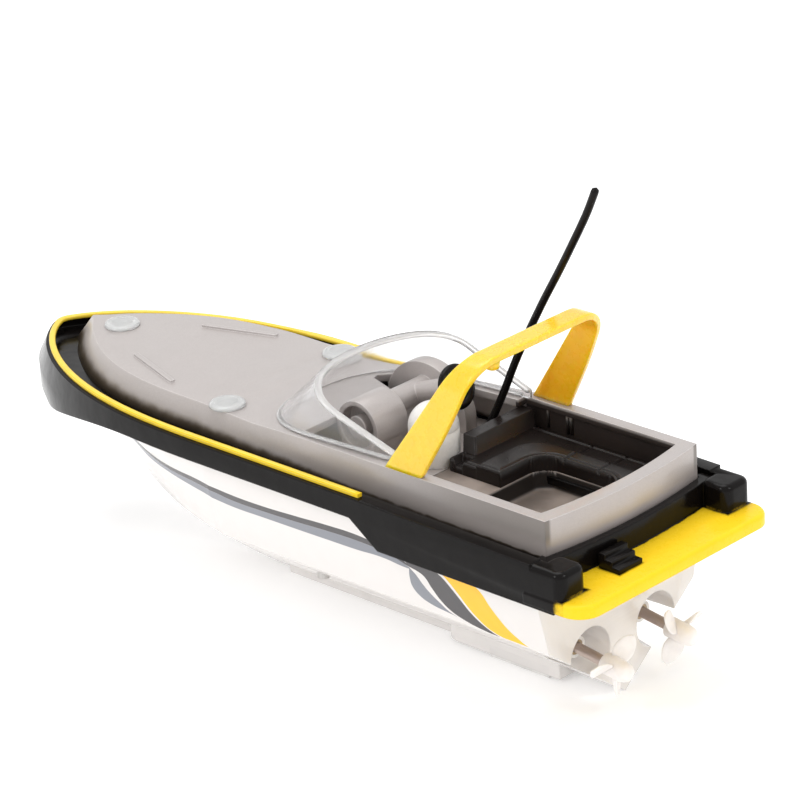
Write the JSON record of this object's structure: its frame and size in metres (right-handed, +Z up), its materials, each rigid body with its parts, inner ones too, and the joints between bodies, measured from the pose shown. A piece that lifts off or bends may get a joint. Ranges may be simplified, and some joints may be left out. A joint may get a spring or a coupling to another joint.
{
  "type": "remote-control boat",
  "caption": "Small twin-screw remote-control speedboat with a V-bottomed hull, stern well, raked windshield, roll arch and whip antenna.",
  "frame": {"origin": "middle of the bounding box, at the height of the keel plate and keel strip on which the boat rests", "axes": "+X towards the bow, +Y to port, +Z up"},
  "size_m": [0.1315, 0.0418, 0.0728],
  "materials": {
    "hull_white": "gloss white moulding with printed stripes",
    "deck_black": "gloss black moulding, stern fittings sprayed yellow",
    "silver": "silver-grey paint on plastic, fading to black at the foot",
    "yellow": "yellow paint on plastic",
    "clear": "clear plastic moulding",
    "black": "satin black plastic",
    "white": "gloss white plastic",
    "seal": "soft black rubber",
    "steel": "plain steel",
    "brass": "plain brass",
    "inside": "grey plastic",
    "wrap": "green shrink wrap",
    "board": "green circuit board"
  },
  "bodies": {
    "boat": {"lower_hull": "hull_white", "deck_moulding": "deck_black", "superstructure": "silver", "release_tab": "deck_black", "windshield": "clear", "roll_arch": "yellow", "antenna_whip": "black", "antenna_grommet": "seal", "hull_gasket": "seal", "stern_tray": "silver", "bench_insert": "black", "cockpit_floor": "silver", "cockpit_dome": "white", "helm_wheel": "black", "cap_bow": "silver", "cap_port": "silver", "cap_starboard": "silver", "deck_screws": "steel", "switch_plate": "hull_white", "power_switch": "inside", "charge_socket": "inside", "charge_socket_pin": "brass", "charge_plug": "seal", "water_contacts": "brass", "motor_cradle": "inside", "motor_strap": "steel", "strap_screw": "steel", "battery_cells": "steel", "battery_wrap": "wrap", "battery_saddles": "inside", "receiver_board": "board", "board_parts": "inside", "board_screws": "steel", "shaft_tube_port": "white", "shaft_bushes_port": "brass", "motor_can_port": "steel", "motor_cap_port": "inside", "shaft_tube_starboard": "white", "shaft_bushes_starboard": "brass", "motor_can_starboard": "steel", "motor_cap_starboard": "inside"},
    "port_drive": {"propeller_port": "white", "propeller_shaft_port": "steel", "coupling_port": "seal", "motor_rotor_port": "steel"},
    "starboard_drive": {"propeller_starboard": "white", "propeller_shaft_starboard": "steel", "coupling_starboard": "seal", "motor_rotor_starboard": "steel"},
    "power_switch_thumb": {"power_switch_slider": "black"}
  },
  "joints": [
    {"name": "port_propeller_spin", "type": "hinge", "parent": "boat", "child": "port_drive", "pos_m": [-0.05875, 0.0071, 0.0081], "axis": [0.9903, 0, 0.1392], "continuous": true},
    {"name": "starboard_propeller_spin", "type": "hinge", "parent": "boat", "child": "starboard_drive", "pos_m": [-0.05875, -0.0071, 0.0081], "axis": [0.9903, 0, 0.1392], "continuous": true},
    {"name": "power_switch_slide", "type": "slide", "parent": "boat", "child": "power_switch_thumb", "axis": [1, 0, 0], "range_m": [0, 0.002]}
  ]
}
